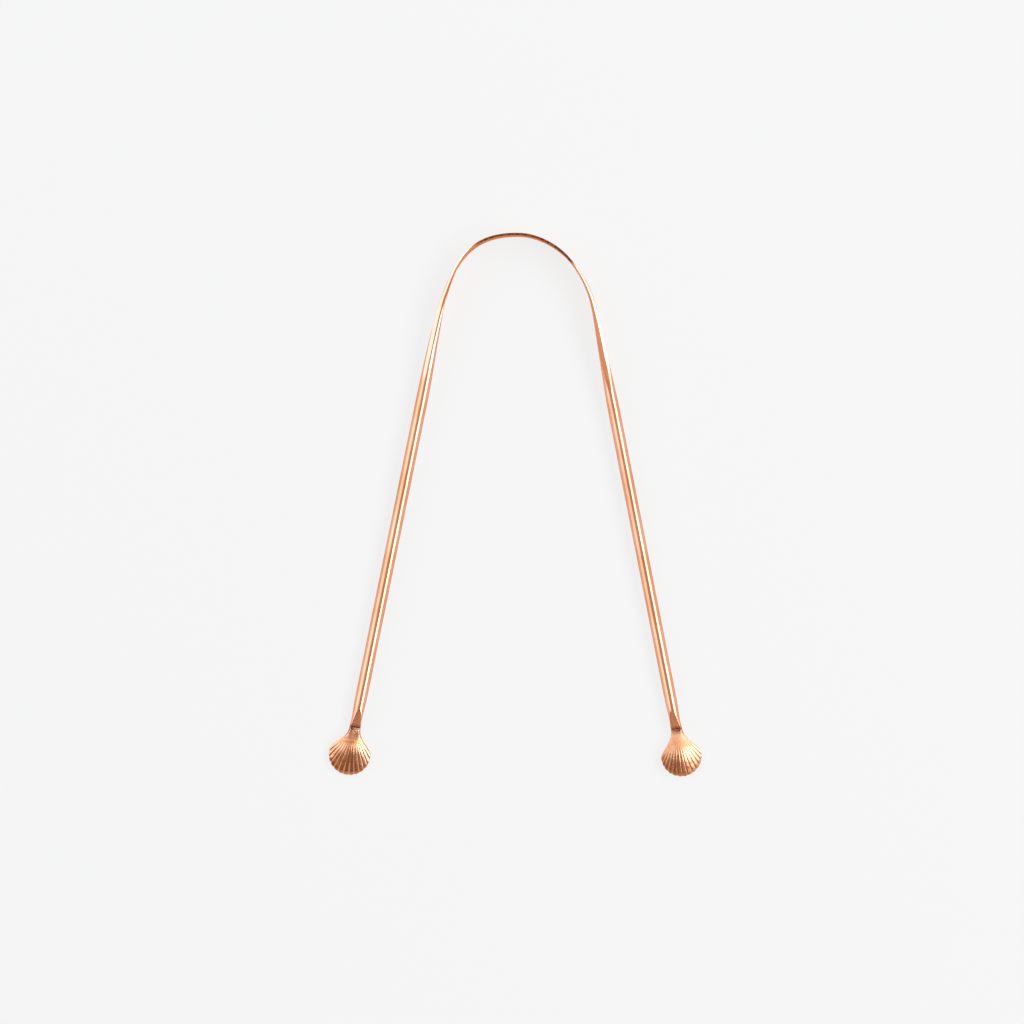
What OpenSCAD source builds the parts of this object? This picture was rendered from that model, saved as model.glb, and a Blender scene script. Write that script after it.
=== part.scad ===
// Tongue scraper: one round copper wire, rolled flat at its middle into a scraping blade and bent
// into a bow, with a cast scallop shell brazed to the tenon at the end of each arm.
// The bow is drawn about the centre of the blade's curve, flat in its own plane, with the wire's
// centreline at height zero. It is then set down as it lies on a table, on the blade's lower edge
// and on the tips of the two shells.

/* [Bow] */
// Radius of the wire's centreline along the scraping blade
bow_radius = 18.4; // [15:0.1:23]
// Angle from the middle of the blade to each of its ends
blade_half_angle = 50; // [40:1:60]
// Radius of the wire's centreline where the bow opens out into an arm
shoulder_radius = 25.4; // [20:0.1:34]
// Angle between each arm and the middle line
arm_splay = 11.35; // [6:0.05:18]

/* [Wire] */
// Diameter of the round wire of the arms
wire_d = 3.1; // [2.6:0.1:3.8]
// Thickness of the wire where it is rolled flat
blade_t = 0.7; // [0.5:0.05:1.2]
// Width of the wire where it is rolled flat
blade_w = 7.4; // [6:0.1:9]
// Rounding of the blade's four long edges
blade_edge_r = 0.2; // [0.1:0.05:0.25]
// Length of wire over which the flat blade turns back into round wire
flare_length = 40; // [32:0.5:50]
// Angle by which the flat wire leans in along each shoulder, where its outer face looks up
shoulder_lean = 4; // [0:0.5:8]

/* [Arms] */
// Length from the end of the shoulder's curve to the middle of the shell
arm_reach = 118.6; // [90:0.1:140]
// Length of the facet filed on the front of the arm
facet_length = 4.9; // [3:0.1:8]
// Depth of that facet where it ends at the brazed seam
facet_depth = 0.8; // [0.4:0.05:1]
// Length over which both sides of the arm are dressed in towards the seam
cheek_length = 3.9; // [2:0.1:6]
// Depth of that dressing on each side at the seam
cheek_depth = 0.2; // [0.1:0.05:0.3]
// Diameter of the tenon at the end of the arm
tenon_d = 1.2; // [0.8:0.1:1.3]
// Length of the tenon inside the shell's neck
tenon_length = 2; // [1:0.1:2.4]

/* [Shells] */
// Diameter of the shell's round rim, measured across the grooves
shell_d = 10.6; // [9:0.1:13]
// Distance from the end of the shell's neck to the middle of the round rim
neck_length = 6.9; // [6.2:0.1:8.5]
// Width of the shell's neck at its end
neck_width = 2.6; // [2.2:0.1:3]
// Number of ribs on the shell, an odd number
rib_count = 13; // [9:2:17]
// Depth of the grooves between the ribs
rib_depth = 0.3; // [0.1:0.05:0.4]
// How far each rib stands out past the grooves at the rim
lobe_height = 0.14; // [0:0.02:0.3]
// Height of the shell's dome above the wire's centreline
dome_height = 1.9; // [1.4:0.05:2.4]
// How far the top of the rim lies below the wire's centreline
rim_drop = 0.5; // [0.3:0.05:0.7]
// Depth of the hollow in the shell's back
dish_depth = 1.1; // [0.5:0.05:1.4]

/* [Joints] */
// Gap at the line where the wire flexes, between the blade and each shoulder
flex_gap = 0.1; // [0.08:0.01:0.2]
// Thickness of the braze in the seam between an arm and its shell
braze_t = 0.12; // [0.06:0.01:0.25]
// How far the braze lies back from the surface
braze_recess = 0.1; // [0.05:0.01:0.2]
// Gap all round the tenon in its socket
tenon_clearance = 0.05; // [0.03:0.01:0.1]

/* [Hidden] */
LEFT = -1;
RIGHT = 1;
FULL_TURN = 360;
RADIAN = 180 / PI;
round_facets = 96;          // flats that stand for a full circle
overrun = 1;                // how far a cutter runs past what it cuts
wire_r = wire_d / 2;

// The bow's curve. The shoulder's arc carries on from the end of the blade's arc and ends where
// its direction is that of the arm.
arm_heading = 90 - arm_splay;
shoulder_sweep = arm_heading - blade_half_angle;
shoulder_arc = shoulder_radius * shoulder_sweep / RADIAN;
shoulder_centre = (bow_radius - shoulder_radius) * outward(blade_half_angle);
arm_root = shoulder_centre + shoulder_radius * outward(arm_heading);
flex_line = bow_radius * outward(blade_half_angle);

// Rings and corner points of the flared shoulder.
flare_rings = 24;
corner_points = 8;
edge_rounding_share = 0.3;  // of the flare, by which its edges have become fully round
lean_shares = [0.2, 0.5];   // of the flare, by which the wire has leant in and stands up again

// Places along an arm, from the end of the shoulder's curve down to the shell.
flare_end_y = shoulder_arc - flare_length;
shell_y = -arm_reach;
neck_y = neck_length;
seam_y = shell_y + neck_length + braze_t;
seam_top = wire_r - facet_depth;
seam_z = (seam_top - wire_r) / 2;
braze_r = (seam_top + wire_r) / 2 - braze_recess;
tenon_root = tenon_d / 2;   // how far the tenon's round runs up inside the arm
socket_spare = 0.15;        // depth left past the end of the tenon

// The shell's fan of ribs.
fan_half_angle = 107;       // from the tip of the shell to the end of its rim on each side
fan_steps = 18;             // rows of facets from the neck to the rim
steps_per_rib = 4;
fan_columns = rib_count * steps_per_rib;
neck_pull_share = 0.37;     // of the neck's length, over which the ribs leave it straight
fan_pull_share = 0.37;      // of the way back to the fan's root, over which ribs reach the rim straight
fan_root_shares = [0.42, 1.03]; // of half the shell's width and height: where the ribs spread from
neck_square_power = 6;      // how square the neck's top is where it meets the arm
neck_square_share = 0.34;   // of the way from neck to rim, over which it becomes round
dome_top_share = 0.22;      // of the rim's radius: how far above its middle the dome is highest
neck_rise_power = 1.5;
dome_fall_power = 2;
rib_start_share = 0.28;     // of the way from neck to rim, where the grooves begin
rib_full_share = 0.62;      // of that way, where they are full depth
neck_round_share = 0.3;     // of that way, over which the neck's round back becomes flat
neck_side_share = 0.12;     // of the wire's radius: height of the neck's upright sides
dish_start_share = 0.4;     // of that way, where the hollow begins
dish_end_share = 0.9;       // of that way, where it ends in the flat rim of the back
dish_slope_share = 0.22;    // of that way, over which the hollow slopes
dish_side_share = 0.3;      // of the fan's half width, over which its sides slope
back_z = -wire_r;
rim_z = -rim_drop;
dome_y = dome_top_share * shell_d / 2;
fan_root = [fan_root_shares[0] * shell_d / 2, fan_root_shares[1] * shell_d / 2];

// How the scraper lies: tilted so that the ends of the blade's lower edge and the shells' tips
// touch the table together, with the origin under the middle of its length.
blade_foot_y = flex_line[1];
shell_middle_y = arm_root[1] + arm_reach * outward(arm_heading + 90)[1];
tip_y = shell_middle_y - shell_d / 2 - lobe_height;
rest_tilt = atan((blade_w / 2 + back_z) / (blade_foot_y - tip_y));
crown_far_y = (bow_radius + blade_t / 2) * cos(rest_tilt) + blade_w / 2 * sin(rest_tilt);
tip_far_y = tip_y * cos(rest_tilt) - back_z * sin(rest_tilt);
middle_y = (crown_far_y + tip_far_y) / 2;
rest_height = -(tip_y * sin(rest_tilt) + back_z * cos(rest_tilt));

// The direction that points away from the bow's middle at an angle from its top.
function outward(angle) = [sin(angle), cos(angle)];

function mix(first, last, share) = first + (last - first) * share;

// Eases from 0 to 1 with level ends.
function ease(share) = let (s = min(1, max(0, share))) s * s * (3 - 2 * s);

// Height of the upper half of a rounded form, as a share of its half height, at a share of its half
// width. It is an ellipse at a power of 2 and squares up as the power grows.
function arch(share, power = 2) = pow(max(0, 1 - pow(abs(share), power)), 1 / power);

function bezier(p, share) = let (t = share, r = 1 - share)
    r * r * r * p[0] + 3 * r * r * t * p[1] + 3 * r * t * t * p[2] + t * t * t * p[3];

// Centreline of the wire at a length along it from the blade's end.
function wire_heading(along) =
    blade_half_angle + min(along, shoulder_arc) / shoulder_radius * RADIAN;

function wire_middle(along) =
    shoulder_centre + shoulder_radius * outward(wire_heading(along))
    + max(0, along - shoulder_arc) * outward(arm_heading + 90);

// Points round a rectangle with round corners, of half sizes across and up.
function rounded_section(half_t, half_w, r) = [
    for (corner = [0 : 3]) for (k = [0 : corner_points - 1])
        let (
            angle = 90 * (corner + (k + 0.5) / corner_points),
            side = corner == 0 || corner == 3 ? 1 : -1,
            level = corner < 2 ? 1 : -1
        )
        [side * (half_t - r) + r * cos(angle), level * (half_w - r) + r * sin(angle)]
];

// Angle by which the wire leans in at a share of the flare.
function flare_lean(share) =
    shoulder_lean
    * ease(share / lean_shares[0])
    * ease((lean_shares[1] - share) / (lean_shares[1] - lean_shares[0]));

// One ring of the flared shoulder, placed on the wire's curve.
function flare_ring(along) =
    let (
        share = along / flare_length,
        half_t = mix(blade_t, wire_d, ease(share)) / 2,
        half_w = mix(blade_w, wire_d, ease(share)) / 2,
        r = mix(blade_edge_r, half_t, ease(share / edge_rounding_share)),
        lean = flare_lean(share),
        out = outward(wire_heading(along)),
        middle = wire_middle(along)
    )
    [
        for (q = rounded_section(half_t, half_w, r))
            let (
                across = q[0] * cos(lean) - q[1] * sin(lean),
                up = q[0] * sin(lean) + q[1] * cos(lean)
            )
            [middle[0] + out[0] * across, middle[1] + out[1] * across, up]
    ];

// Height of a rib's round back above its grooves, from 0 to 1, across the fan from -1 to 1.
function rib(across) =
    let (place = (across + 1) / 2 * rib_count, off = 2 * (place - floor(place)) - 1) 1 - off * off;

// Plan of the shell: a rib's line leaves the neck straight, bends out and meets the rim.
function fan_plan(along, across) =
    let (
        turn = across * fan_half_angle,
        reach = shell_d / 2 + lobe_height * rib(across),
        start = [across * neck_width / 2, neck_y],
        leave = start - [0, neck_pull_share * neck_length],
        finish = reach * [sin(turn), -cos(turn)],
        root = [across * fan_root[0], fan_root[1]]
    )
    bezier([start, leave, mix(finish, root, fan_pull_share), finish], along);

// Height of the shell's middle line: it rises along the neck to the dome and falls to the rim.
function ridge_z(along) =
    let (y = fan_plan(along, 0)[1])
    y > dome_y
        ? mix(dome_height, seam_top, pow((y - dome_y) / (neck_y - dome_y), neck_rise_power))
        : mix(dome_height, rim_z,
              pow(min(1, (dome_y - y) / (dome_y + shell_d / 2)), dome_fall_power));

function groove(along, across) =
    rib_depth * (1 - rib(across))
    * ease((along - rib_start_share) / (rib_full_share - rib_start_share));

function shell_top(along, across) =
    let (power = mix(neck_square_power, 2, ease(along / neck_square_share)))
    mix(rim_z, ridge_z(along), arch(across, power)) - groove(along, across);

function dish(along, across) =
    dish_depth
    * ease((along - dish_start_share) / dish_slope_share)
    * ease((dish_end_share - along) / dish_slope_share)
    * ease((dish_end_share - abs(across)) / dish_side_share);

function shell_back(along, across) =
    let (
        side = rim_z - neck_side_share * wire_r,
        neck_back = mix(side, back_z, arch(across))
    )
    mix(neck_back, back_z, ease(along / neck_round_share)) + dish(along, across);

// Sets the whole scraper down on the table.
module at_rest() {
    translate([0, -middle_y, rest_height]) rotate([rest_tilt, 0, 0]) children();
}

// Draws on the right-hand side, or mirrored on the left.
module on_side(side) {
    mirror([side == LEFT ? 1 : 0, 0, 0]) children();
}

// Places children on an arm: their Y axis runs up the arm from zero at the shoulder's end.
module on_arm(side) {
    on_side(side) translate(arm_root) rotate([0, 0, arm_splay]) children();
}

// A round bar that runs down the arm from one height to a lower one.
module bar(top_y, length, r) {
    translate([0, top_y, 0]) rotate([90, 0, 0]) cylinder(r = r, h = length, $fn = round_facets);
}

// A block whose lower face slopes down the arm, for filing a flat of a given depth at the seam.
module file_cut(length, depth) {
    slope = atan(depth / length);
    run = norm([length, depth]) + overrun;
    translate([0, seam_y + length, wire_r]) rotate([slope, 0, 0])
        translate([-wire_d, -run, 0]) cube([2 * wire_d, run, wire_d]);
}

// The flat middle of the wire: its lower or upper long edge scrapes the tongue.
module scraping_blade() {
    flex_angle = flex_gap / 2 / bow_radius * RADIAN;
    sweep = 2 * (blade_half_angle - flex_angle);
    flat_t = blade_t - 2 * blade_edge_r;
    flat_w = blade_w - 2 * blade_edge_r;
    color("#d08a63")
    rotate([0, 0, 90 - sweep / 2])
    rotate_extrude(angle = sweep, $fn = round_facets)
    translate([bow_radius, 0]) {
        square([flat_t, blade_w], center = true);
        square([blade_t, flat_w], center = true);
        for (side = [-1, 1], level = [-1, 1])
            translate([side * flat_t / 2, level * flat_w / 2])
                circle(r = blade_edge_r, $fn = round_facets);
    }
}

// The wire between blade and arm: it bends out along the shoulder and swells from flat to round.
module shoulder(side) {
    first = flex_gap / 2;
    rings = [for (i = [0 : flare_rings]) flare_ring(mix(first, flare_length, i / flare_rings))];
    around = 4 * corner_points;
    points = [for (ring = rings) for (p = ring) p];
    walls = [
        for (i = [0 : flare_rings - 1]) for (j = [0 : around - 1])
            let (a = i * around + j, b = i * around + (j + 1) % around)
            for (face = [[a, b, b + around], [a, b + around, a + around]]) face
    ];
    start_cap = [for (j = [around - 1 : -1 : 0]) j];
    end_cap = [for (j = [0 : around - 1]) flare_rings * around + j];
    color("#d08a63")
    on_side(side) polyhedron(points = points, faces = concat(walls, [start_cap, end_cap]));
}

// The round arm: filed flat in front and dressed at both sides near the seam, with a tenon below.
module arm(side) {
    color("#d08a63")
    on_arm(side) {
        difference() {
            bar(flare_end_y, flare_end_y - seam_y, wire_r);
            file_cut(facet_length, facet_depth);
            for (turn = [-90, 90])
                rotate([0, turn, 0]) file_cut(cheek_length, cheek_depth);
        }
        translate([0, 0, seam_z])
            bar(seam_y + tenon_root, tenon_root + braze_t + tenon_length, tenon_d / 2);
    }
}

// The braze between the end of the arm and the shell's neck, a washer round the tenon.
module braze_seam(side) {
    color("#8a5a3c")
    on_arm(side) translate([0, 0, seam_z])
        difference() {
            bar(seam_y, braze_t, braze_r);
            bar(seam_y + overrun, braze_t + 2 * overrun, tenon_d / 2 + tenon_clearance);
        }
}

// The cast scallop shell: a fan of round ribs on a dome, with a hollow back and a socketed neck.
module shell(side) {
    row = fan_columns + 1;
    back = (fan_steps + 1) * row;
    top_points = [
        for (i = [0 : fan_steps]) for (j = [0 : fan_columns])
            let (along = i / fan_steps, across = 2 * j / fan_columns - 1)
            concat(fan_plan(along, across), shell_top(along, across))
    ];
    back_points = [
        for (i = [0 : fan_steps]) for (j = [0 : fan_columns])
            let (along = i / fan_steps, across = 2 * j / fan_columns - 1)
            concat(fan_plan(along, across), shell_back(along, across))
    ];
    skins = [
        for (i = [0 : fan_steps - 1]) for (j = [0 : fan_columns - 1])
            let (a = i * row + j, b = a + 1, c = a + row, d = c + 1)
            for (face = [
                [a, b, d], [a, d, c],
                [back + a, back + d, back + b], [back + a, back + c, back + d]
            ]) face
    ];
    sides = [
        for (i = [0 : fan_steps - 1]) for (j = [0, fan_columns])
            let (a = i * row + j, c = a + row)
            for (face = j == 0
                ? [[a, c, back + c], [a, back + c, back + a]]
                : [[a, back + c, c], [a, back + a, back + c]]) face
    ];
    ends = [
        for (i = [0, fan_steps]) for (j = [0 : fan_columns - 1])
            let (a = i * row + j, b = a + 1)
            for (face = i == 0
                ? [[a, back + b, b], [a, back + a, back + b]]
                : [[a, b, back + b], [a, back + b, back + a]]) face
    ];
    color("#b9774f")
    on_arm(side) translate([0, shell_y, 0])
        difference() {
            polyhedron(points = concat(top_points, back_points), faces = concat(skins, sides, ends));
            translate([0, 0, seam_z])
                bar(neck_y + overrun, overrun + tenon_length + socket_spare,
                    tenon_d / 2 + tenon_clearance);
        }
}

at_rest() scraping_blade();
at_rest() shoulder(LEFT);  // left_shoulder
at_rest() shoulder(RIGHT);  // right_shoulder
at_rest() arm(LEFT);  // left_arm
at_rest() arm(RIGHT);  // right_arm
at_rest() braze_seam(LEFT);  // left_braze_seam
at_rest() braze_seam(RIGHT);  // right_braze_seam
at_rest() shell(LEFT);  // left_shell
at_rest() shell(RIGHT);  // right_shell
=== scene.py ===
"""Looks of a copper tongue scraper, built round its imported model.

A round copper wire is rolled flat at its middle and bent to a bow, and a cast scallop shell is brazed
to the end of each arm. Shapes are worked out in millimetres in the plane of the bow, with the origin at
the centre of the blade's curve, for the right-hand side. They are then mirrored where they belong on
the left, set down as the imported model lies, and put into metres.
"""

import logging
import math
from dataclasses import dataclass
from enum import Enum

import bpy
import numpy as np
from mathutils import Matrix, Vector


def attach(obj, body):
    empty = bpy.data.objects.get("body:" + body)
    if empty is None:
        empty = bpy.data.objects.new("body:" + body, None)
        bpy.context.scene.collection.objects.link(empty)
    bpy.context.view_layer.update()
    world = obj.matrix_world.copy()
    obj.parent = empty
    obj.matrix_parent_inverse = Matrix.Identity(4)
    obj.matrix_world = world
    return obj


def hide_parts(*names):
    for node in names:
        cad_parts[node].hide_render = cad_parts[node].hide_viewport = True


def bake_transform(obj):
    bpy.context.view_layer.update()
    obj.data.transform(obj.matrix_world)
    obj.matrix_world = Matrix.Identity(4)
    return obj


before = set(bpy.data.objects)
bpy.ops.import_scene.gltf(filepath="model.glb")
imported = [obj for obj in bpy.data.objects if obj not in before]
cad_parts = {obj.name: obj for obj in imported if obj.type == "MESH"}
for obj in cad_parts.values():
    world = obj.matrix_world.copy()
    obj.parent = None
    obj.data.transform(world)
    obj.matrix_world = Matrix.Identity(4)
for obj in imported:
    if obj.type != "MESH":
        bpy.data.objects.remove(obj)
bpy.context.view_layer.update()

MM = 0.001
log = logging.getLogger("scraper")

Pair = tuple[float, float]
Triple = tuple[float, float, float]
Colour = tuple[float, float, float, float]
Values = np.ndarray | float


class Side(Enum):
    """The two halves of the scraper."""

    LEFT = -1
    RIGHT = 1

    @property
    def word(self) -> str:
        """The side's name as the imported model's nodes start with."""
        return self.name.lower()


def linear(code: str) -> Colour:
    """Turns an sRGB hex colour to linear.

    Below 0.04045 a channel is divided by 12.92, above it is ((c + 0.055) / 1.055) to the power 2.4.

    Args:
        code: Six hex digits.

    Returns:
        Red, green, blue and a full alpha.
    """
    parts = [int(code[i : i + 2], 16) / 255 for i in (0, 2, 4)]
    made = [c / 12.92 if c <= 0.04045 else ((c + 0.055) / 1.055) ** 2.4 for c in parts]
    return (made[0], made[1], made[2], 1.0)


def mix(first: Values, last: Values, share: Values) -> np.ndarray:
    """Goes straight from first to last as share goes from 0 to 1."""
    return np.asarray(first + (last - first) * share)


def ease(value: Values, first: Values = 0.0, last: Values = 1.0) -> np.ndarray:
    """Eases from 0 at first to 1 at last: 3 s squared less 2 s cubed, with s the share of the way."""
    s = np.clip((value - first) / (last - first), 0.0, 1.0)
    return s * s * (3 - 2 * s)


def hump(place: np.ndarray, middle: float, half: float) -> np.ndarray:
    """A smooth hump: 1 at the middle, 0 at half a width away and beyond, eased between."""
    return ease(np.abs(place - middle), half, 0.0)


def arch(share: np.ndarray, power: Values = 2.0) -> np.ndarray:
    """Upper half of a superellipse: (1 - |s| to the power p) to the power 1/p."""
    return np.maximum(0.0, 1 - np.abs(share) ** power) ** (1 / np.asarray(power))


def outward(angle: Values) -> np.ndarray:
    """Direction away from the bow's middle at an angle in degrees from its top: (sin, cos)."""
    turn = np.radians(angle)
    return np.stack([np.sin(turn), np.cos(turn)], axis=-1)


def wander(place: np.ndarray, lengths: tuple[float, ...], seed: int) -> np.ndarray:
    """Slow irregularity of hand work: the mean of sines of the given wavelengths.

    Args:
        place: Where it is wanted, in mm.
        lengths: Wavelengths in mm.
        seed: Picks the sines' phases.

    Returns:
        Values between -1 and 1, one for each place.
    """
    phases = np.random.default_rng(seed).uniform(0, 2 * math.pi, len(lengths))
    waves = [np.sin(2 * math.pi * place / w + p) for w, p in zip(lengths, phases)]
    return np.mean(waves, axis=0)


def soft_min(first: np.ndarray, last: Values, blend: Values) -> np.ndarray:
    """The smaller of two, rounded: their mean less half the length of (difference, blend)."""
    return (first + last - np.hypot(first - last, blend)) / 2


def put(name: str, data: bpy.types.ID) -> bpy.types.Object:
    """Makes an object of a mesh, lamp or camera and links it into the scene.

    Args:
        name: The object's name.
        data: What it shows.

    Returns:
        The object, at the origin.
    """
    made = bpy.data.objects.new(name, data)
    bpy.context.scene.collection.objects.link(made)
    return made


def flat_face(name: str, corners: list[Triple]) -> bpy.types.Object:
    """Makes an object of one four-sided face.

    Args:
        name: The object's name.
        corners: Its corners in order, in metres.

    Returns:
        The object.
    """
    mesh = bpy.data.meshes.new(name)
    mesh.from_pydata(corners, [], [[0, 1, 2, 3]])
    return put(name, mesh)


@dataclass(frozen=True)
class HandWork:
    """How one half differs from the drawing, because the bow was flattened and bent by hand.

    Places along the wire are in mm from the blade's end, and the shell's sizes are in mm.

    Attributes:
        flare_start: Where the wire starts to swell.
        rounding: Shares of the flare over which its corners become round.
        bevel_rise: Where the bevels start and where they are full.
        outer_bevel: Share of the wire's thickness that the outer bevel takes.
        inner_bevel: The same for the inner one.
        burnish_end: Where their burnish ends.
        flat_rub: How pale and dull the flat between them is rubbed, up to 1.
        strays: Bumps of the centreline: place, half width and how far outwards.
        shell_set: How far outwards of the arm's line the shell stands.
        shell_d: The fan's width in its grooves.
        fan_half_angle: Half the fan's angle, in degrees.
        apex_y: Place of the fan's top, up from the middle of its rim's circle.
        slopes: Slopes in which the fan ends at its sides and at its tip.
        crest: Rounding of the fan's crest.
        flank_share: Share of the fall to the tip that the flanks lack.
        roll: Slope of the fan's roll outwards.
        satin: How satin the shell is brushed, up to 1.
        rib_depth: Depth of the grooves between its ribs.
        bead_height: Height of the bead across the fan.
        seed: Picks the irregularities.
    """

    flare_start: float
    rounding: Pair
    bevel_rise: Pair
    outer_bevel: float
    inner_bevel: float
    burnish_end: float
    flat_rub: float
    strays: tuple[Triple, ...]
    shell_set: float
    shell_d: float
    fan_half_angle: float
    apex_y: float
    slopes: Pair
    crest: float
    flank_share: float
    roll: float
    satin: float
    rib_depth: float
    bead_height: float
    seed: int


HANDS = {
    Side.LEFT: HandWork(
        flare_start=-2.0, rounding=(0.2, 0.7), bevel_rise=(-5.5, -2.0), outer_bevel=0.39, inner_bevel=0.16,
        burnish_end=33.0, flat_rub=0.0, strays=((-5.0, 11.0, 0.53), (8.7, 6.5, -0.28), (24.0, 12.0, 0.07)),
        shell_set=0.0, shell_d=10.55, fan_half_angle=104.5, apex_y=2.2, slopes=(0.7, 0.45), crest=4.5,
        flank_share=0.8, roll=0.0, satin=0.3, rib_depth=0.14, bead_height=0.1, seed=11),
    Side.RIGHT: HandWork(
        flare_start=3.5, rounding=(0.45, 0.85), bevel_rise=(0.5, 3.5), outer_bevel=0.25, inner_bevel=0.0,
        burnish_end=36.0, flat_rub=0.8, strays=((0.0, 16.0, -0.36), (-8.0, 8.0, -0.08)),
        shell_set=-0.1, shell_d=10.25, fan_half_angle=100.0, apex_y=1.2, slopes=(0.36, 0.42), crest=2.0,
        flank_share=0.2, roll=0.11, satin=1.0, rib_depth=0.11, bead_height=0.0, seed=29),
}


@dataclass(frozen=True)
class BowLine:
    """Centreline of the wire: the blade's arc, the shoulder's arc and the straight arm.

    Its length coordinate is zero at the blade's end, negative on the blade and positive beyond.
    """

    bow_radius: float = 18.4
    blade_half_angle: float = 50.0
    shoulder_radius: float = 25.4
    arm_splay: float = 11.35
    arm_reach: float = 118.6

    @property
    def arm_heading(self) -> float:
        """Where the arm's outer side looks, in degrees from the bow's top."""
        return 90 - self.arm_splay

    @property
    def blade_arc(self) -> float:
        """Length of half the blade."""
        return self.bow_radius * math.radians(self.blade_half_angle)

    @property
    def shoulder_arc(self) -> float:
        """Length of the shoulder's arc."""
        return self.shoulder_radius * math.radians(self.arm_heading - self.blade_half_angle)

    @property
    def shoulder_centre(self) -> np.ndarray:
        """Centre of the shoulder's arc, on the line through the bow's centre and the blade's end."""
        return (self.bow_radius - self.shoulder_radius) * outward(self.blade_half_angle)

    @property
    def arm_root(self) -> np.ndarray:
        """Where the shoulder's arc ends and the arm is straight."""
        return self.shoulder_centre + self.shoulder_radius * outward(self.arm_heading)

    @property
    def flex_line(self) -> np.ndarray:
        """Where the blade ends and the wire flexes."""
        return self.bow_radius * outward(self.blade_half_angle)

    def heading(self, along: np.ndarray) -> np.ndarray:
        """Where the wire's outer side looks: arc length over radius, then constant.

        Args:
            along: Lengths from the blade's end, in mm.

        Returns:
            Angles in degrees from the bow's top.
        """
        on_blade = self.blade_half_angle + np.degrees(along / self.bow_radius)
        arc = np.minimum(along, self.shoulder_arc)
        return np.where(along < 0, on_blade, self.blade_half_angle + np.degrees(arc / self.shoulder_radius))

    def middle(self, along: np.ndarray) -> np.ndarray:
        """Points of the centreline.

        Each is its arc's centre plus the radius times the heading's direction, and on the arm the
        rest of the length runs straight on.

        Args:
            along: Lengths from the blade's end, in mm.

        Returns:
            Plan points, in mm.
        """
        look = outward(self.heading(along))
        on_shoulder = self.shoulder_centre + self.shoulder_radius * look
        straight = np.maximum(0.0, along - self.shoulder_arc)[..., None]
        beyond = on_shoulder + straight * outward(self.arm_heading + 90)
        return np.where((along < 0)[..., None], self.bow_radius * look, beyond)

    def from_arm(self, points: np.ndarray) -> np.ndarray:
        """Turns points of the arm's own frame, whose Y runs up the arm from its root, into the bow's.

        Args:
            points: Points in the arm's frame, in mm.

        Returns:
            The same points in the bow's frame.
        """
        turn = math.radians(self.arm_splay)
        x, y, z = np.moveaxis(points, -1, 0)
        plan_x = self.arm_root[0] + x * math.cos(turn) - y * math.sin(turn)
        plan_y = self.arm_root[1] + x * math.sin(turn) + y * math.cos(turn)
        return np.stack([plan_x, plan_y, z], axis=-1)


@dataclass(frozen=True)
class Resting:
    """How the scraper lies on the table: tilted about X, moved along Y and raised."""

    tilt: float = 0.92579
    middle_y: float = -51.18656
    height: float = 3.50842

    def set_down(self, points: np.ndarray, side: Side) -> np.ndarray:
        """Mirrors the left side, tilts, moves and puts into metres.

        Args:
            points: Points in the bow's frame for the right side, in mm.
            side: Where the piece belongs.

        Returns:
            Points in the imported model's frame, in metres.
        """
        turn = math.radians(self.tilt)
        x, y, z = np.moveaxis(points, -1, 0)
        level_y = y * math.cos(turn) - z * math.sin(turn) - self.middle_y
        level_z = y * math.sin(turn) + z * math.cos(turn) + self.height
        return np.stack([x * side.value, level_y, level_z], axis=-1) * MM


LINE = BowLine()
RESTING = Resting()


class Skin:
    """Points and faces of a piece while it is put together from grids."""

    def __init__(self) -> None:
        """Starts empty."""
        self.points: list[np.ndarray] = []
        self.faces: list[list[int]] = []
        self.count = 0

    @property
    def laid(self) -> np.ndarray:
        """All points so far."""
        return np.concatenate(self.points)

    def add(self, points: np.ndarray) -> np.ndarray:
        """Adds points of any grid shape.

        Args:
            points: Points with their three numbers last.

        Returns:
            Their numbers, in the grid's shape.
        """
        flat = points.reshape(-1, 3)
        numbers = np.arange(self.count, self.count + len(flat)).reshape(points.shape[:-1])
        self.points.append(flat)
        self.count += len(flat)
        return numbers

    def quads(self, grid: np.ndarray) -> None:
        """Joins neighbours of a grid of point numbers with four-sided faces."""
        a, b, c, d = grid[:-1, :-1], grid[:-1, 1:], grid[1:, 1:], grid[1:, :-1]
        self.faces += np.stack([a, b, c, d], axis=-1).reshape(-1, 4).tolist()

    def fan(self, ring: np.ndarray, middle: np.ndarray) -> None:
        """Closes a ring of point numbers, anticlockwise from outside, with triangles to a new point."""
        number = self.add(middle[None, :])[0]
        self.faces += np.stack([ring, np.roll(ring, -1), np.full_like(ring, number)], axis=-1).tolist()

    def tube(self, rings: np.ndarray, middles: np.ndarray) -> None:
        """Joins closed rings of points to a tube and closes both its ends.

        Args:
            rings: A grid of points, a row for each ring.
            middles: The two points in the middle of the ends.
        """
        grid = self.add(rings)
        self.quads(np.concatenate([grid, grid[:, :1]], axis=1).T)
        self.fan(grid[0], middles[0])
        self.fan(grid[-1][::-1], middles[1])

    def build(self, name: str, side: Side, details: dict[str, np.ndarray],
              sharp: float) -> bpy.types.Object:
        """Makes the object.

        Args:
            name: The piece's name.
            side: Where it belongs.
            details: Named values or vectors, one for each point, that the finish reads.
            sharp: Angle in degrees above which an edge isn't shaded smooth.

        Returns:
            The object, at the origin, with outward faces.
        """
        mesh = bpy.data.meshes.new(name)
        mesh.from_pydata(RESTING.set_down(self.laid, side).tolist(), [], self.faces)
        if side is Side.LEFT:
            mesh.flip_normals()
        for word, values in details.items():
            kind, field = ("FLOAT_VECTOR", "vector") if values.ndim == 2 else ("FLOAT", "value")
            layer = mesh.attributes.new(word, kind, "POINT")
            layer.data.foreach_set(field, values.astype(np.float32).ravel())
        mesh.shade_smooth()
        mesh.set_sharp_from_angle(angle=math.radians(sharp))
        mesh.validate()
        log.info("%s: %d points, %d faces", name, self.count, len(self.faces))
        return put(name, mesh)


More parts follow.
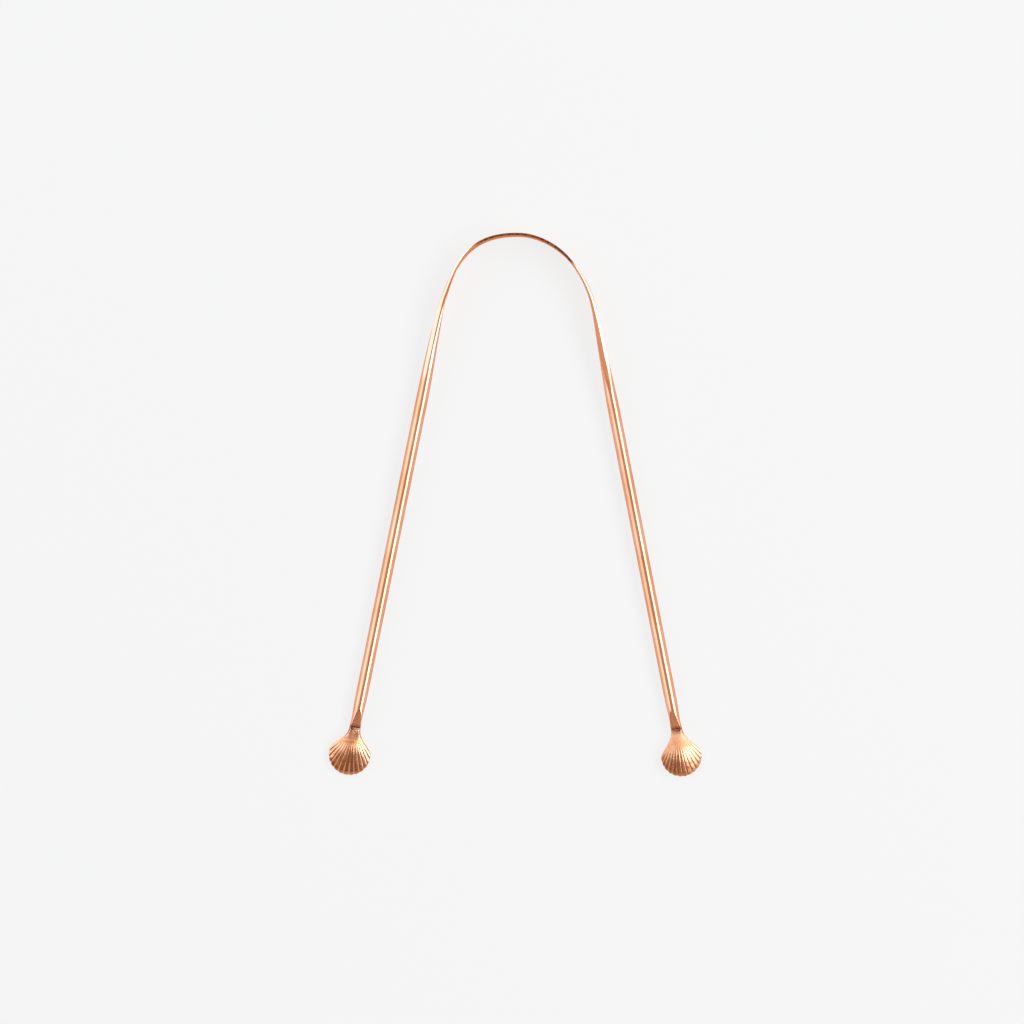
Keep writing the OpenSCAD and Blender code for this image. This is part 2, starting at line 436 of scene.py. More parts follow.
class NodeSheet:
    """The node tree of a material or world, and the one way in which nodes are added to it."""

    def __init__(self, owner: bpy.types.Material | bpy.types.World) -> None:
        """Starts the owner with an empty tree.

        Args:
            owner: The material or world that the nodes make.
        """
        self.owner = owner
        self.owner.use_nodes = True
        self.tree = self.owner.node_tree
        self.tree.nodes.clear()

    def add(self, kind: str, *values: object, **named: object) -> bpy.types.Node:
        """Adds a shader node with its settings and links.

        Args:
            kind: The node's type, without the words that all shader nodes start with.
            *values: For its inputs in use, in their order: plain values, output sockets, or nodes,
                each of which stands for its first output in use.
            **named: Settings in small letters, and the same as above for inputs, whose names start
                with a capital and have _ for a space.

        Returns:
            The node.
        """
        node = self.tree.nodes.new(f"ShaderNode{kind}")
        settings = {word: value for word, value in named.items() if word[0].islower()}
        for word, value in settings.items():
            setattr(node, word, value)
        pairs = list(zip([socket for socket in node.inputs if socket.enabled], values))
        pairs += [(node.inputs[word.replace("_", " ")], value)
                  for word, value in named.items() if word not in settings]
        for socket, value in pairs:
            if isinstance(value, bpy.types.Node):
                value = next(made for made in value.outputs if made.enabled)
            if isinstance(value, bpy.types.NodeSocket):
                self.tree.links.new(value, socket)
            else:
                socket.default_value = value
        return node


@dataclass(frozen=True)
class DrawnCopper:
    """Copper wire, drawn, rolled and polished.

    It gives the eye a clean warm mirror with faint lines along the wire, a lighter burnished bow whose
    paler colour is partly painted sheen, so that the lamps' reflections look whiter, with a dark rubbed
    edge and a dull orange inside that is painted shade standing in for a darker reflection, a filed
    facet with crossing file marks, and a stain at the seam that is partly painted shade of the crease
    there. The lines are drawn wider than real ones, which are too fine to show.
    """

    bright: str = "f3b596"
    deep: str = "e8a27d"
    # Paler base of the bevels and rubbed flat: real burnish, and partly painted sheen so the lamps'
    # reflections look whiter.
    burnish_and_sheen: str = "f6c0a9"
    # Deeper orange of the inside, painted shade for its darker reflection; also the rubbed flat's dull
    # tone.
    rolled: str = "e3905e"
    # Dark of the worn crown edge and of the seam stain, which is partly painted shade of the crease there.
    tarnish_and_seam_shade: str = "643420"
    grazing_tint: Colour = (0.86, 0.52, 0.36, 1.0)
    roughness: float = 0.1
    roughness_shares: Pair = (0.6, 1.5)
    filed_roughness: float = 0.25
    rolled_roughness: float = 0.55
    line_length_mm: float = 9.0
    line_width_mm: float = 0.18
    line_depth_mm: float = 0.02
    line_strength: float = 0.05
    cloud_mm: float = 7.0
    cloud_detail: float = 4.0
    cloud_range: Pair = (0.35, 0.65)
    file_mark_mm: float = 0.35
    file_mark_length_mm: float = 4.0
    file_mark_depth_mm: float = 0.04
    speck_mm: float = 0.45
    speck_depth_mm: float = 0.1
    speck_range: Pair = (0.34, 0.6)
    speck_shares: Pair = (0.5, 1.0)
    detail: float = 3.0
    mark_strength: float = 0.35

    def make(self) -> bpy.types.Material:
        """Builds the node material.

        The drawn attribute holds the length along the wire and the two section coordinates, in mm, so
        noise that is stretched along its first axis draws lines along the wire without a seam.

        Returns:
            The material.
        """
        sheet = NodeSheet(bpy.data.materials.new("drawn_polished_copper"))
        drawn = sheet.add("Attribute", attribute_name="drawn").outputs["Vector"]
        filed, worn, burnish_and_sheen, seam_stain_and_shade, rolled = (
            sheet.add("Attribute", attribute_name=word).outputs["Fac"]
            for word in ("filed", "worn", "burnish_and_sheen", "seam_stain_and_shade", "rolled"))
        lengthwise = (1 / self.line_length_mm, 1 / self.line_width_mm, 1 / self.line_width_mm)
        crosswise = (1 / self.file_mark_mm, 1 / self.file_mark_length_mm, 1 / self.file_mark_length_mm)
        lines, marks = (
            sheet.add("TexNoise", sheet.add("Mapping", drawn, Scale=scale), Scale=1.0, Detail=self.detail)
            for scale in (lengthwise, crosswise))
        clouds = sheet.add("TexNoise", drawn, Scale=1 / self.cloud_mm, Detail=self.cloud_detail)
        specks = sheet.add("TexNoise", drawn, Scale=1 / self.speck_mm, Detail=self.detail)

        cloudy = sheet.add("MapRange", clouds, *self.cloud_range)
        speckled = sheet.add("MapRange", specks, *self.speck_range, *self.speck_shares)
        worn_and_seam_shade = sheet.add("Math", worn, seam_stain_and_shade, operation="MAXIMUM")
        dark = sheet.add("Math", worn_and_seam_shade, speckled, operation="MULTIPLY")
        colour = linear(self.bright)
        # Coats over the plain copper: random clouds, the paler burnish that is partly painted sheen, the
        # inside's painted shade, and the dark of the worn edge and the seam, partly painted shade.
        for share, coat in ((cloudy, self.deep), (burnish_and_sheen, self.burnish_and_sheen), (rolled, self.rolled),
                            (dark, self.tarnish_and_seam_shade)):
            colour = sheet.add("Mix", share, colour, linear(coat), data_type="RGBA")

        low, high = self.roughness_shares
        fine = sheet.add("MapRange", lines, To_Min=self.roughness * low, To_Max=self.roughness * high)
        dull = sheet.add("Math", worn_and_seam_shade, filed, operation="MAXIMUM")
        worked = sheet.add("Mix", dull, fine, self.filed_roughness)
        rough = sheet.add("Mix", rolled, worked, self.rolled_roughness)

        relief = sheet.add("Bump", Height=lines, Strength=self.line_strength,
                           Distance=self.line_depth_mm * MM)
        for height, share, depth in ((marks, filed, self.file_mark_depth_mm),
                                     (specks, worn, self.speck_depth_mm)):
            relief = sheet.add("Bump", Height=sheet.add("Math", height, share, operation="MULTIPLY"),
                               Strength=self.mark_strength, Distance=depth * MM, Normal=relief)
        metal = sheet.add("BsdfPrincipled", Base_Color=colour, Metallic=1.0, Roughness=rough,
                          Specular_Tint=self.grazing_tint, Normal=relief)
        sheet.add("OutputMaterial", metal)
        return sheet.owner


@dataclass(frozen=True)
class CastCopper:
    """Copper shell, cast and brushed lengthwise.

    It gives the eye a satin glow with polishing streaks along the arm, grooves darkened by painted
    shade, a stain at the seam that is partly painted shade of the crease, and a painted orange
    reflection on the rim's lower edge and in a spot on the left shell's bead.
    """

    bright: str = "f3bd9c"
    deep: str = "e0a27c"
    # Painted shade in the grooves.
    groove: str = "b87650"
    # Dark of the seam stain, partly real oxide and partly painted shade of the crease there.
    tarnish_and_seam_shade: str = "6b3a26"
    # Painted orange reflection on the rim's lower edge and on the bead.
    reflected_orange: str = "e08e58"
    grazing_tint: Colour = (0.86, 0.52, 0.34, 1.0)
    roughness: float = 0.2
    satin_roughness: float = 0.5
    roughness_shares: Pair = (0.7, 1.35)
    streak_length_mm: float = 2.6
    streak_width_mm: float = 0.28
    streak_depth_mm: float = 0.05
    streak_strength: float = 0.35
    streak_detail: float = 4.0
    grain_mm: float = 0.35
    grain_depth_mm: float = 0.04
    grain_strength: float = 0.2
    grain_range: Pair = (0.35, 0.6)
    grain_shares: Pair = (0.2, 1.0)
    cloud_mm: float = 2.6
    cloud_range: Pair = (0.35, 0.65)
    detail: float = 3.0

    def make(self) -> bpy.types.Material:
        """Builds the node material. The cast attribute holds the shell's own coordinates in mm.

        Returns:
            The material.
        """
        sheet = NodeSheet(bpy.data.materials.new("cast_brushed_copper"))
        cast = sheet.add("Attribute", attribute_name="cast").outputs["Vector"]
        deep, seam_stain_and_shade, painted_orange_reflection, satin = (
            sheet.add("Attribute", attribute_name=word).outputs["Fac"]
            for word in ("deep", "seam_stain_and_shade", "painted_orange_reflection", "satin"))
        lengthwise = (1 / self.streak_width_mm, 1 / self.streak_length_mm, 1 / self.streak_width_mm)
        brushed = sheet.add("Mapping", cast, Scale=lengthwise)
        streaks = sheet.add("TexNoise", brushed, Scale=1.0, Detail=self.streak_detail)
        grain, clouds = (sheet.add("TexNoise", cast, Scale=1 / size, Detail=self.detail)
                         for size in (self.grain_mm, self.cloud_mm))

        cloudy = sheet.add("MapRange", clouds, *self.cloud_range)
        grainy = sheet.add("MapRange", grain, *self.grain_range, *self.grain_shares)
        dark = sheet.add("Math", seam_stain_and_shade, grainy, operation="MULTIPLY")
        colour = linear(self.bright)
        # Coats over the plain copper: random clouds, painted shade in the grooves, the painted orange
        # reflection on rim and bead, and the dark seam stain, partly painted shade.
        for share, coat in ((cloudy, self.deep), (deep, self.groove), (painted_orange_reflection, self.reflected_orange),
                            (dark, self.tarnish_and_seam_shade)):
            colour = sheet.add("Mix", share, colour, linear(coat), data_type="RGBA")

        low, high = self.roughness_shares
        level = sheet.add("Mix", satin, self.roughness, self.satin_roughness)
        streaky = sheet.add("MapRange", streaks, To_Min=low, To_Max=high)
        rough = sheet.add("Math", level, streaky, operation="MULTIPLY")
        brushing = sheet.add("Bump", Height=streaks, Strength=self.streak_strength,
                             Distance=self.streak_depth_mm * MM)
        pitting = sheet.add("Bump", Height=grain, Strength=self.grain_strength,
                            Distance=self.grain_depth_mm * MM, Normal=brushing)
        metal = sheet.add("BsdfPrincipled", Base_Color=colour, Metallic=1.0, Roughness=rough,
                          Specular_Tint=self.grazing_tint, Normal=pitting)
        sheet.add("OutputMaterial", metal)
        return sheet.owner


@dataclass(frozen=True)
class Braze:
    """Copper-phosphorus braze, left as it set.

    It gives the eye a thin dull brown line, lumpy and a little oxidised.
    """

    metal: str = "d29a78"
    oxide: str = "a06c50"
    oxide_range: Pair = (0.4, 0.6)
    roughness: float = 0.35
    roughness_shares: Pair = (0.7, 1.3)
    lump_mm: float = 0.5
    lump_depth_mm: float = 0.08
    lump_strength: float = 0.5
    detail: float = 4.0

    def make(self) -> bpy.types.Material:
        """Builds the node material from noise of the size of the braze's lumps.

        Returns:
            The material.
        """
        sheet = NodeSheet(bpy.data.materials.new("set_copper_braze"))
        cast = sheet.add("Attribute", attribute_name="cast").outputs["Vector"]
        lumps = sheet.add("TexNoise", cast, Scale=1 / self.lump_mm, Detail=self.detail)
        share = sheet.add("MapRange", lumps, *self.oxide_range)
        colour = sheet.add("Mix", share, linear(self.metal), linear(self.oxide), data_type="RGBA")
        low, high = self.roughness_shares
        rough = sheet.add("MapRange", lumps, To_Min=self.roughness * low, To_Max=self.roughness * high)
        bump = sheet.add("Bump", Height=lumps, Strength=self.lump_strength,
                         Distance=self.lump_depth_mm * MM)
        metal = sheet.add("BsdfPrincipled", Base_Color=colour, Metallic=1.0, Roughness=rough, Normal=bump)
        sheet.add("OutputMaterial", metal)
        return sheet.owner


@dataclass(frozen=True)
class CopperWire:
    """Half of the one wire, from the middle of the blade to the seam with its shell.

    The section is a rounded rectangle that swells to a circle. It leans in along the shoulder, where a
    bevel is burnished on its outer top corner and, on the left, a small one on the inner.

    Sizes are in mm and angles in degrees. Waves are wavelengths. Most other pairs say between which
    values something is eased in or out: places along the wire, sines or cosines of the turn round the
    section, or depths that were cut off.
    """

    side: Side
    wire_d: float = 3.1
    blade_t: float = 0.7
    blade_w: float = 7.4
    blade_edge_r: float = 0.1
    flare_length: float = 40.0
    side_angle: float = 24.0
    lean: float = 4.0
    lean_places: Triple = (-5.0, 8.0, 20.0)
    lean_waver: float = 0.35
    lean_waves: Pair = (23.0, 41.0)
    bevel_angle: float = 23.0
    bevel_edge: float = 0.14
    bevel_fade: Pair = (34.0, 24.0)
    inner_angle: float = -18.0
    inner_rise: Pair = (12.5, 17.5)
    square_share: float = 1 / 6
    full_cut_share: float = 0.1
    least_share: float = 0.01
    facet_length: float = 4.9
    facet_depth: float = 0.8
    facet_roll: float = 15.0
    cheek_length: float = 8.0
    cheek_rise: float = 5.0
    cheek_depth: float = 0.2
    cheek_flare: float = 0.09
    cheek_flare_length: float = 2.2
    seam_reach: float = 7.02
    filed_edge: float = 0.05
    filed_cut: Pair = (0.02, 0.08)
    uneven_share: float = 0.004
    uneven_waves: Triple = (7.0, 11.3, 17.9)
    under_lift: float = 0.035
    crown_fade: float = 1.0
    crown_top: Pair = (0.8, 0.95)
    fringe: float = 0.6
    fringe_waves: Triple = (1.3, 2.1, 3.4)
    burnish_fade: float = 0.6
    burnished_cut: float = 0.05
    rub_top: Pair = (0.75, 0.9)
    rub_fade: float = 6.0
    rub_cut: float = 0.03
    rub_dulling: Pair = (0.4, 0.8)
    inside_turn: Pair = (0.8, 0.9)
    inside_fade: Pair = (24.0, 14.0)
    stain_length: float = 1.3
    stain_top: Pair = (0.2, 0.8)
    around: int = 120
    bow_step: float = 0.2
    arm_step: float = 0.7
    tip_rings: int = 80
    tip_margin: float = 1.0
    flex_reach: float = 8.0
    sharp_angle: float = 40.0

    @property
    def seam_y(self) -> float:
        """Where the wire ends, in the arm's own frame."""
        return -LINE.arm_reach + self.seam_reach

    @property
    def hand(self) -> HandWork:
        """What is particular to this half."""
        return HANDS[self.side]

    def lengths(self) -> np.ndarray:
        """Places of the section rings: close on the bow and at the facet, wide on the straight arm.

        Returns:
            Lengths from the blade's end, in mm.
        """
        end = LINE.shoulder_arc - self.seam_y
        tip = end - self.cheek_length - self.tip_margin
        bow = np.arange(-LINE.blade_arc, self.flare_length, self.bow_step)
        arm = np.arange(self.flare_length, tip, self.arm_step)
        return np.concatenate([bow, arm, np.linspace(tip, end, self.tip_rings)])

    def leaning(self, along: np.ndarray) -> np.ndarray:
        """Angle of lean in degrees: eased in before the blade's end and eased out down the shoulder."""
        start, full, end = self.lean_places
        return self.lean * ease(along, start, full) * ease(along, end, full)

    def bevelled(self, across: np.ndarray, up: np.ndarray, sizes: tuple[np.ndarray, ...], angle: float,
                 share: np.ndarray) -> tuple[np.ndarray, np.ndarray, np.ndarray]:
        """Cuts one top corner: what stands beyond a slanting plane is brought back square to it.

        The plane lies below the corner's own tangent. With c the cut's share of the thickness, a square
        corner needs c times the slant's sine of it, and a round one the sagitta of a chord c long. The
        depth goes from one to the other as the corner rounds. The cut's edges are softened, by less
        where the wire is thin, to the power 1.5, and where the cut is small.

        Args:
            across: Section points across the wire.
            up: Section points up.
            sizes: Half thickness, half width and corner radius.
            angle: Slant in degrees, positive for the outer corner.
            share: Share of the thickness that the cut takes, by the length along the wire.

        Returns:
            The points across and up, and how much was taken off.
        """
        half_t, half_w, r = sizes
        lean, rise = math.sin(math.radians(angle)), math.cos(math.radians(angle))
        reach = (half_t - r) * abs(lean) + (half_w - r) * rise + r
        square = share * 2 * half_t * abs(lean)
        sagitta = r - np.sqrt(np.maximum(r**2 - (share * half_t / rise) ** 2, 0.0))
        depth = mix(square, np.minimum(square, sagitta), ease(r / half_t, self.square_share))
        level = across * lean + up * rise
        thin = (2 * half_t / self.wire_d) ** 1.5
        fullness = share / self.full_cut_share
        edge = self.bevel_edge * thin * np.clip(fullness, self.least_share, 1)
        beyond = (level - soft_min(level, reach - depth, edge)) * (fullness > self.least_share)
        return across - beyond * lean, up - beyond * rise, beyond

    def section(self, along: np.ndarray, turn: np.ndarray) -> tuple[np.ndarray, np.ndarray, np.ndarray]:
        """Section points before the lean, across and up.

        Each is the corner radius times the direction of the turn, plus the rest of the half size times
        a sine step that is full on the corners and passes smoothly through zero in each side's middle.
        The bevels are then cut.

        Args:
            along: Lengths along the wire, one for each ring, as a column.
            turn: Angles round the section in radians, as a row.

        Returns:
            Points across the wire and up, and what the bevels took off, each a grid of rings by turns.
        """
        hand = self.hand
        share = np.clip((along - hand.flare_start) / self.flare_length, 0.0, 1.0)
        half_t = mix(self.blade_t, self.wire_d, ease(share)) / 2
        half_w = mix(self.blade_w, self.wire_d, ease(share)) / 2
        r = mix(self.blade_edge_r, half_t, ease(share, *hand.rounding))
        limit = math.radians(self.side_angle)

        def step(value: np.ndarray) -> np.ndarray:
            """Sine step of the folded angle, full beyond the side's own angle."""
            return np.sin(math.pi / 2 * np.clip(np.arcsin(np.clip(value, -1, 1)) / limit, -1, 1))

        across = (half_t - r) * step(np.cos(turn)) + r * np.cos(turn)
        up = (half_w - r) * step(np.sin(turn)) + r * np.sin(turn)
        fade = ease(along, *self.bevel_fade)
        outer = hand.outer_bevel * fade * ease(along, *hand.bevel_rise)
        inner = hand.inner_bevel * fade * ease(along, *self.inner_rise)
        sizes = (half_t, half_w, r)
        across, up, outer_cut = self.bevelled(across, up, sizes, self.bevel_angle, outer)
        across, up, inner_cut = self.bevelled(across, up, sizes, self.inner_angle, inner)
        return across, up, outer_cut + inner_cut

    def filed(self, across: np.ndarray, up: np.ndarray, facet: Values,
              cheek: Values) -> tuple[np.ndarray, np.ndarray, np.ndarray]:
        """Files the cheeks and then the facet, which is rolled towards the inner side.

        What stands beyond each plane is brought back square to it, with a softened edge.

        Args:
            across: Section points across the wire.
            up: Section points up.
            facet: Distance of the facet's plane from the wire's middle.
            cheek: Distance of the cheeks from the wire's middle.

        Returns:
            The points across and up, and how much the facet took off.
        """
        roll = math.radians(self.facet_roll)
        across = np.sign(across) * soft_min(np.abs(across), cheek, self.filed_edge)
        height = up * math.cos(roll) - across * math.sin(roll)
        gone = height - soft_min(height, facet, self.filed_edge)
        return across + gone * math.sin(roll), up - gone * math.cos(roll), gone

    def straying(self, along: np.ndarray) -> np.ndarray:
        """How far the centreline strays outwards: the sum of the half's bumps."""
        return sum((far * hump(along, place, half) for place, half, far in self.hand.strays),
                   np.zeros_like(along))

    def wear(self, along: np.ndarray, turn: np.ndarray, cut: np.ndarray) -> dict[str, np.ndarray]:
        """How the wire was worked, and where painted shade and sheen lie, with values from 0 to 1 that the
        finish reads.

        The crown's top edge is worn dark up to the bevels. These are burnished to a ragged end, and
        the flat beside them is rubbed where nothing was cut; their paler colour is partly painted sheen.
        The inside gets a deeper orange that is painted shade, and the top by the seam a dark stain that
        is partly painted shade of the crease there.

        Args:
            along: Lengths along the wire, as a column.
            turn: Angles round the section in radians, as a row.
            cut: What the bevels took off, as a grid.

        Returns:
            Named grids of rings by turns.
        """
        hand, top, radius = self.hand, np.sin(turn), self.wire_d / 2
        start, end = hand.bevel_rise[0], hand.burnish_end
        crown = ease(along, start + self.crown_fade, start - self.crown_fade)
        ragged = along - self.fringe * wander(turn * radius, self.fringe_waves, hand.seed + 2)
        bevels = (ease(ragged, end + self.burnish_fade, end - self.burnish_fade)
                  * ease(cut, 0.0, self.burnished_cut))
        rubbed = (ease(top, *self.rub_top) * (1 - crown) * ease(along, end, end - self.rub_fade)
                  * ease(cut, self.rub_cut, 0.0))
        inside = ease(-np.cos(turn), *self.inside_turn) * ease(along, *self.inside_fade)
        arm_y = LINE.shoulder_arc - along
        return {
            "drawn": np.stack(np.broadcast_arrays(along, radius * np.cos(turn), radius * top), axis=-1),
            "worn": crown * ease(top, *self.crown_top),
            # Paler where burnished and rubbed: real wear, partly painted sheen.
            "burnish_and_sheen": np.maximum(bevels, hand.flat_rub * rubbed),
            # A real stain near the seam, partly painted shade of the crease there.
            "seam_stain_and_shade": (ease(arm_y, self.seam_y + self.stain_length, self.seam_y)
                        * ease(top, *self.stain_top)),
            # The inside's deeper orange is painted shade; the rubbed flat's dull tone is real wear.
            "rolled": np.maximum(inside, mix(*self.rub_dulling, hand.flat_rub) * rubbed),
        }

    def build(self) -> bpy.types.Object:
        """Carries the section along the centreline, files the facet and cheeks, and closes both ends.

        Returns:
            The object.
        """
        along = self.lengths()[:, None]
        turn = (np.arange(self.around) / self.around * 2 * math.pi)[None, :]
        across, up, cut = self.section(along, turn)
        seed = self.hand.seed
        uneven = wander(along, self.uneven_waves, seed)
        across = across * (1 - self.uneven_share * (1 + uneven))
        up = up * (1 - self.uneven_share * (1 - uneven))
        up = up + self.under_lift * (up < 0)

        arm_y, radius = LINE.shoulder_arc - along, self.wire_d / 2
        facet_start, cheek_start = self.seam_y + self.facet_length, self.seam_y + self.cheek_length
        facet = radius - self.facet_depth * (facet_start - arm_y) / self.facet_length
        cheek = (radius - self.cheek_depth * ease(arm_y, cheek_start, cheek_start - self.cheek_rise)
                 + self.cheek_flare * ease(arm_y, self.seam_y + self.cheek_flare_length, self.seam_y))
        near = arm_y < cheek_start + self.tip_margin
        cut_across, cut_up, gone = self.filed(across, up, facet, cheek)
        across, up = np.where(near, cut_across, across), np.where(near, cut_up, up)

        lean = np.radians(self.leaning(along) + self.lean_waver * wander(along, self.lean_waves, seed + 1))
        leant = across * np.cos(lean) - up * np.sin(lean)
        raised = across * np.sin(lean) + up * np.cos(lean)
        look = outward(LINE.heading(along))
        plan = LINE.middle(along) + look * (leant + self.straying(along))[..., None]
        points = np.concatenate([plan, raised[..., None]], axis=-1)
        skin = Skin()
        skin.tube(points, points[[0, -1]].mean(axis=1))

        def per_point(values: np.ndarray) -> np.ndarray:
            """Lays a grid of values out point by point and repeats the ends for the caps."""
            flat = np.broadcast_to(values, cut.shape + values.shape[2:]).reshape(-1, *values.shape[2:])
            return np.concatenate([flat, flat[:1], flat[-1:]])

        details = {"filed": np.where(near, ease(gone, *self.filed_cut), 0.0), **self.wear(along, turn, cut)}
        spread = {word: per_point(values) for word, values in details.items()}
        return skin.build(f"{self.side.word}_wire", self.side, spread, self.sharp_angle)

    def dress(self, piece: bpy.types.Object, finish: bpy.types.Material) -> None:
        """Gives the wire its finish, hides the imported pieces that it stands for, and bakes its place into
        its points.

        Args:
            piece: The wire.
            finish: Its material.
        """
        piece.data.materials.append(finish)
        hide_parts("scraping_blade", f"{self.side.word}_shoulder", f"{self.side.word}_arm")
        run = outward(LINE.blade_half_angle + 90) * self.flex_reach
        ends = [np.append(LINE.flex_line + run * s, 0.0) for s in (-1, 1)]
        start, end = (tuple(RESTING.set_down(p, self.side)) for p in ends)
        f"{self.side.word}_side"
        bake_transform(piece)


@dataclass(frozen=True)
class ScallopShell:
    """The cast shell on the end of an arm: a neck that opens into a fan of round ribs on a dome.

    Sizes and places are in mm, about the middle of the rim's circle, with Y up the arm. Most pairs say
    between which values something is eased in or out: places, or shares of the way along the fan.
    """

    wire: CopperWire
    neck_length: float = 6.9
    neck_width: float = 2.88
    rib_count: int = 13
    rib_bulge: float = 0.12
    groove_share: float = 0.32
    lobe_height: float = 0.14
    dome_height: float = 1.85
    rim_drop: float = 0.5
    pull_share: float = 0.37
    root_shares: Pair = (0.42, 1.03)
    shift_share: float = 0.5
    square_powers: Pair = (10.0, 3.5)
    square_share: float = 0.5
    roll_share: float = 0.28
    dip_slope: float = 0.17
    dip_length: float = 3.2
    tip_crest: float = 3.0
    fan_shares: Pair = (0.08, 0.38)
    lip_width: float = 0.9
    lip_drop: float = 0.17
    lip_fade: float = 3.0
    rib_start: float = 0.27
    neck_round_share: float = 0.3
    neck_side_share: float = 0.12
    dish_depth: float = 1.1
    dish_shares: Pair = (0.4, 0.9)
    dish_slope_share: float = 0.22
    dish_side_share: float = 0.3
    rim_round: float = 0.13
    back_round_share: float = 0.6
    bead_y: float = 3.7
    bead_slant: float = 0.1
    bead_half: float = 0.3
    uneven_height: float = 0.02
    uneven_waves: tuple[Pair, Pair] = ((2.3, 3.7), (1.9, 3.1))
    uneven_slants: Pair = (0.4, -0.3)
    face_shares: Pair = (0.2, 0.92)
    # How dark the grooves' painted shade is, and over what share of the fan it grows in.
    groove_shade_tone: float = 0.4
    groove_shade_share: float = 0.3
    stain_half: Pair = (3.8, 1.6)
    stain_height: float = 0.3
    # A painted orange reflection: a spot on the bead, and a band on the rim's lower edge, most on the left
    # as it lies.
    orange_spot: Pair = (-1.5, 3.9)
    orange_spot_half: Pair = (1.2, 0.85)
    orange_spot_tone: float = 0.8
    orange_spot_height: float = 0.4
    rim_orange_gap: Pair = (1.5, 0.1)
    rim_orange_rise: Pair = (-1.0, -3.5)
    rim_orange_tones: Pair = (0.15, 0.7)
    rim_orange_across: Pair = (1.5, -2.5)
    satin_rest_share: float = 0.17
    satin_places: tuple[Pair, Pair] = ((6.8, 6.0), (1.0, 3.0))
    column_shares: tuple[float, ...] = (0.0, 0.04, 0.08, 0.12, 0.16, 0.3, 0.5, 0.7, 0.84, 0.88, 0.92, 0.96)
    tip_share: float = 0.9
    fan_rows: int = 110
    tip_rows: int = 36
    wall_steps: int = 6
    sharp_angle: float = 50.0

    @property
    def side(self) -> Side:
        """The shell's side of the scraper."""
        return self.wire.side

    @property
    def hand(self) -> HandWork:
        """What is particular to this half."""
        return self.wire.hand

    @property
    def half(self) -> float:
        """Radius of the fan's rim in the grooves."""
        return self.hand.shell_d / 2

    @property
    def back_z(self) -> float:
        """Height of the flat back."""
        return -self.wire.wire_d / 2

    @property
    def facet_roll(self) -> float:
        """Roll of the filed facet, in radians."""
        return math.radians(self.wire.facet_roll)

    @property
    def seam_top(self) -> float:
        """Height of the filed arm at the seam."""
        return (self.wire.wire_d / 2 - self.wire.facet_depth) / math.cos(self.facet_roll)

    def off_rib(self, across: np.ndarray) -> np.ndarray:
        """Distance from the middle of the nearest rib, 1 in the grooves."""
        place = (across + 1) / 2 * self.rib_count
        return np.abs(2 * (place - np.floor(place)) - 1)

    def lobe(self, across: np.ndarray) -> np.ndarray:
        """How far the rim stands out, 0 to 1: a round lobe with a narrow round-bottomed notch."""
        off = self.off_rib(across)
        # One less five quarters of (the distance squared less a fifth of its tenth power).
        return 1 - (off**2 - off**10 / 5) * 1.25

    def rib(self, across: np.ndarray) -> np.ndarray:
        """Height of a rib's back above its grooves, 0 to 1: a low parabola between straight V grooves.

        Args:
            across: From -1 to 1 across the fan.

        Returns:
            Heights from 0 in the grooves to 1.
        """
        off = self.off_rib(across)
        wall = np.clip((off - 1) / self.groove_share + 1, 0, 1)
        return 1 - self.rib_bulge * off**2 - (1 - self.rib_bulge) * wall

    def plan(self, along: np.ndarray, across: np.ndarray) -> np.ndarray:
        """Plan of the fan: a cubic Bezier from the neck's end to the rim for each line of the fan.

        Args:
            along: From 0 at the neck's end to 1 at the rim.
            across: From -1 to 1 across the fan.

        Returns:
            Plan points about the middle of the rim's circle, in mm.
        """
        along, across = np.broadcast_arrays(along, across)
        turn = np.radians(across * self.hand.fan_half_angle)
        reach = self.half + self.lobe_height * self.lobe(across)
        start = np.stack([across * self.neck_width / 2, np.full(across.shape, self.neck_length)], axis=-1)
        leave = start - np.array([0.0, self.pull_share * self.neck_length])
        finish = np.stack([reach * np.sin(turn), -reach * np.cos(turn)], axis=-1)
        root = np.stack([across * self.root_shares[0] * self.half,
                         np.full(across.shape, self.root_shares[1] * self.half)], axis=-1)
        pulled = mix(finish, root, self.pull_share)
        t, r = along[..., None], 1 - along[..., None]
        shift = np.array([self.hand.shell_set, 0.0]) * ease(t, 0.0, self.shift_share)
        return r**3 * start + 3 * r**2 * t * leave + 3 * r * t**2 * pulled + t**3 * finish + shift

    def ridge(self, y: np.ndarray) -> np.ndarray:
        """Height of the line from the seam to the top of the fan.

        It is eased between the two, less a dip past the seam that runs on from the filed facet: slope
        times distance times the square of what is left of the dip's length.

        Args:
            y: Places along the shell, in mm.

        Returns:
            Heights in mm.
        """
        gone = np.clip((self.neck_length - y) / self.dip_length, 0, 1)
        dip = self.dip_slope * self.dip_length * gone * (1 - gone) ** 2
        return mix(self.dome_height, self.seam_top, ease(y, self.hand.apex_y, self.neck_length)) - dip

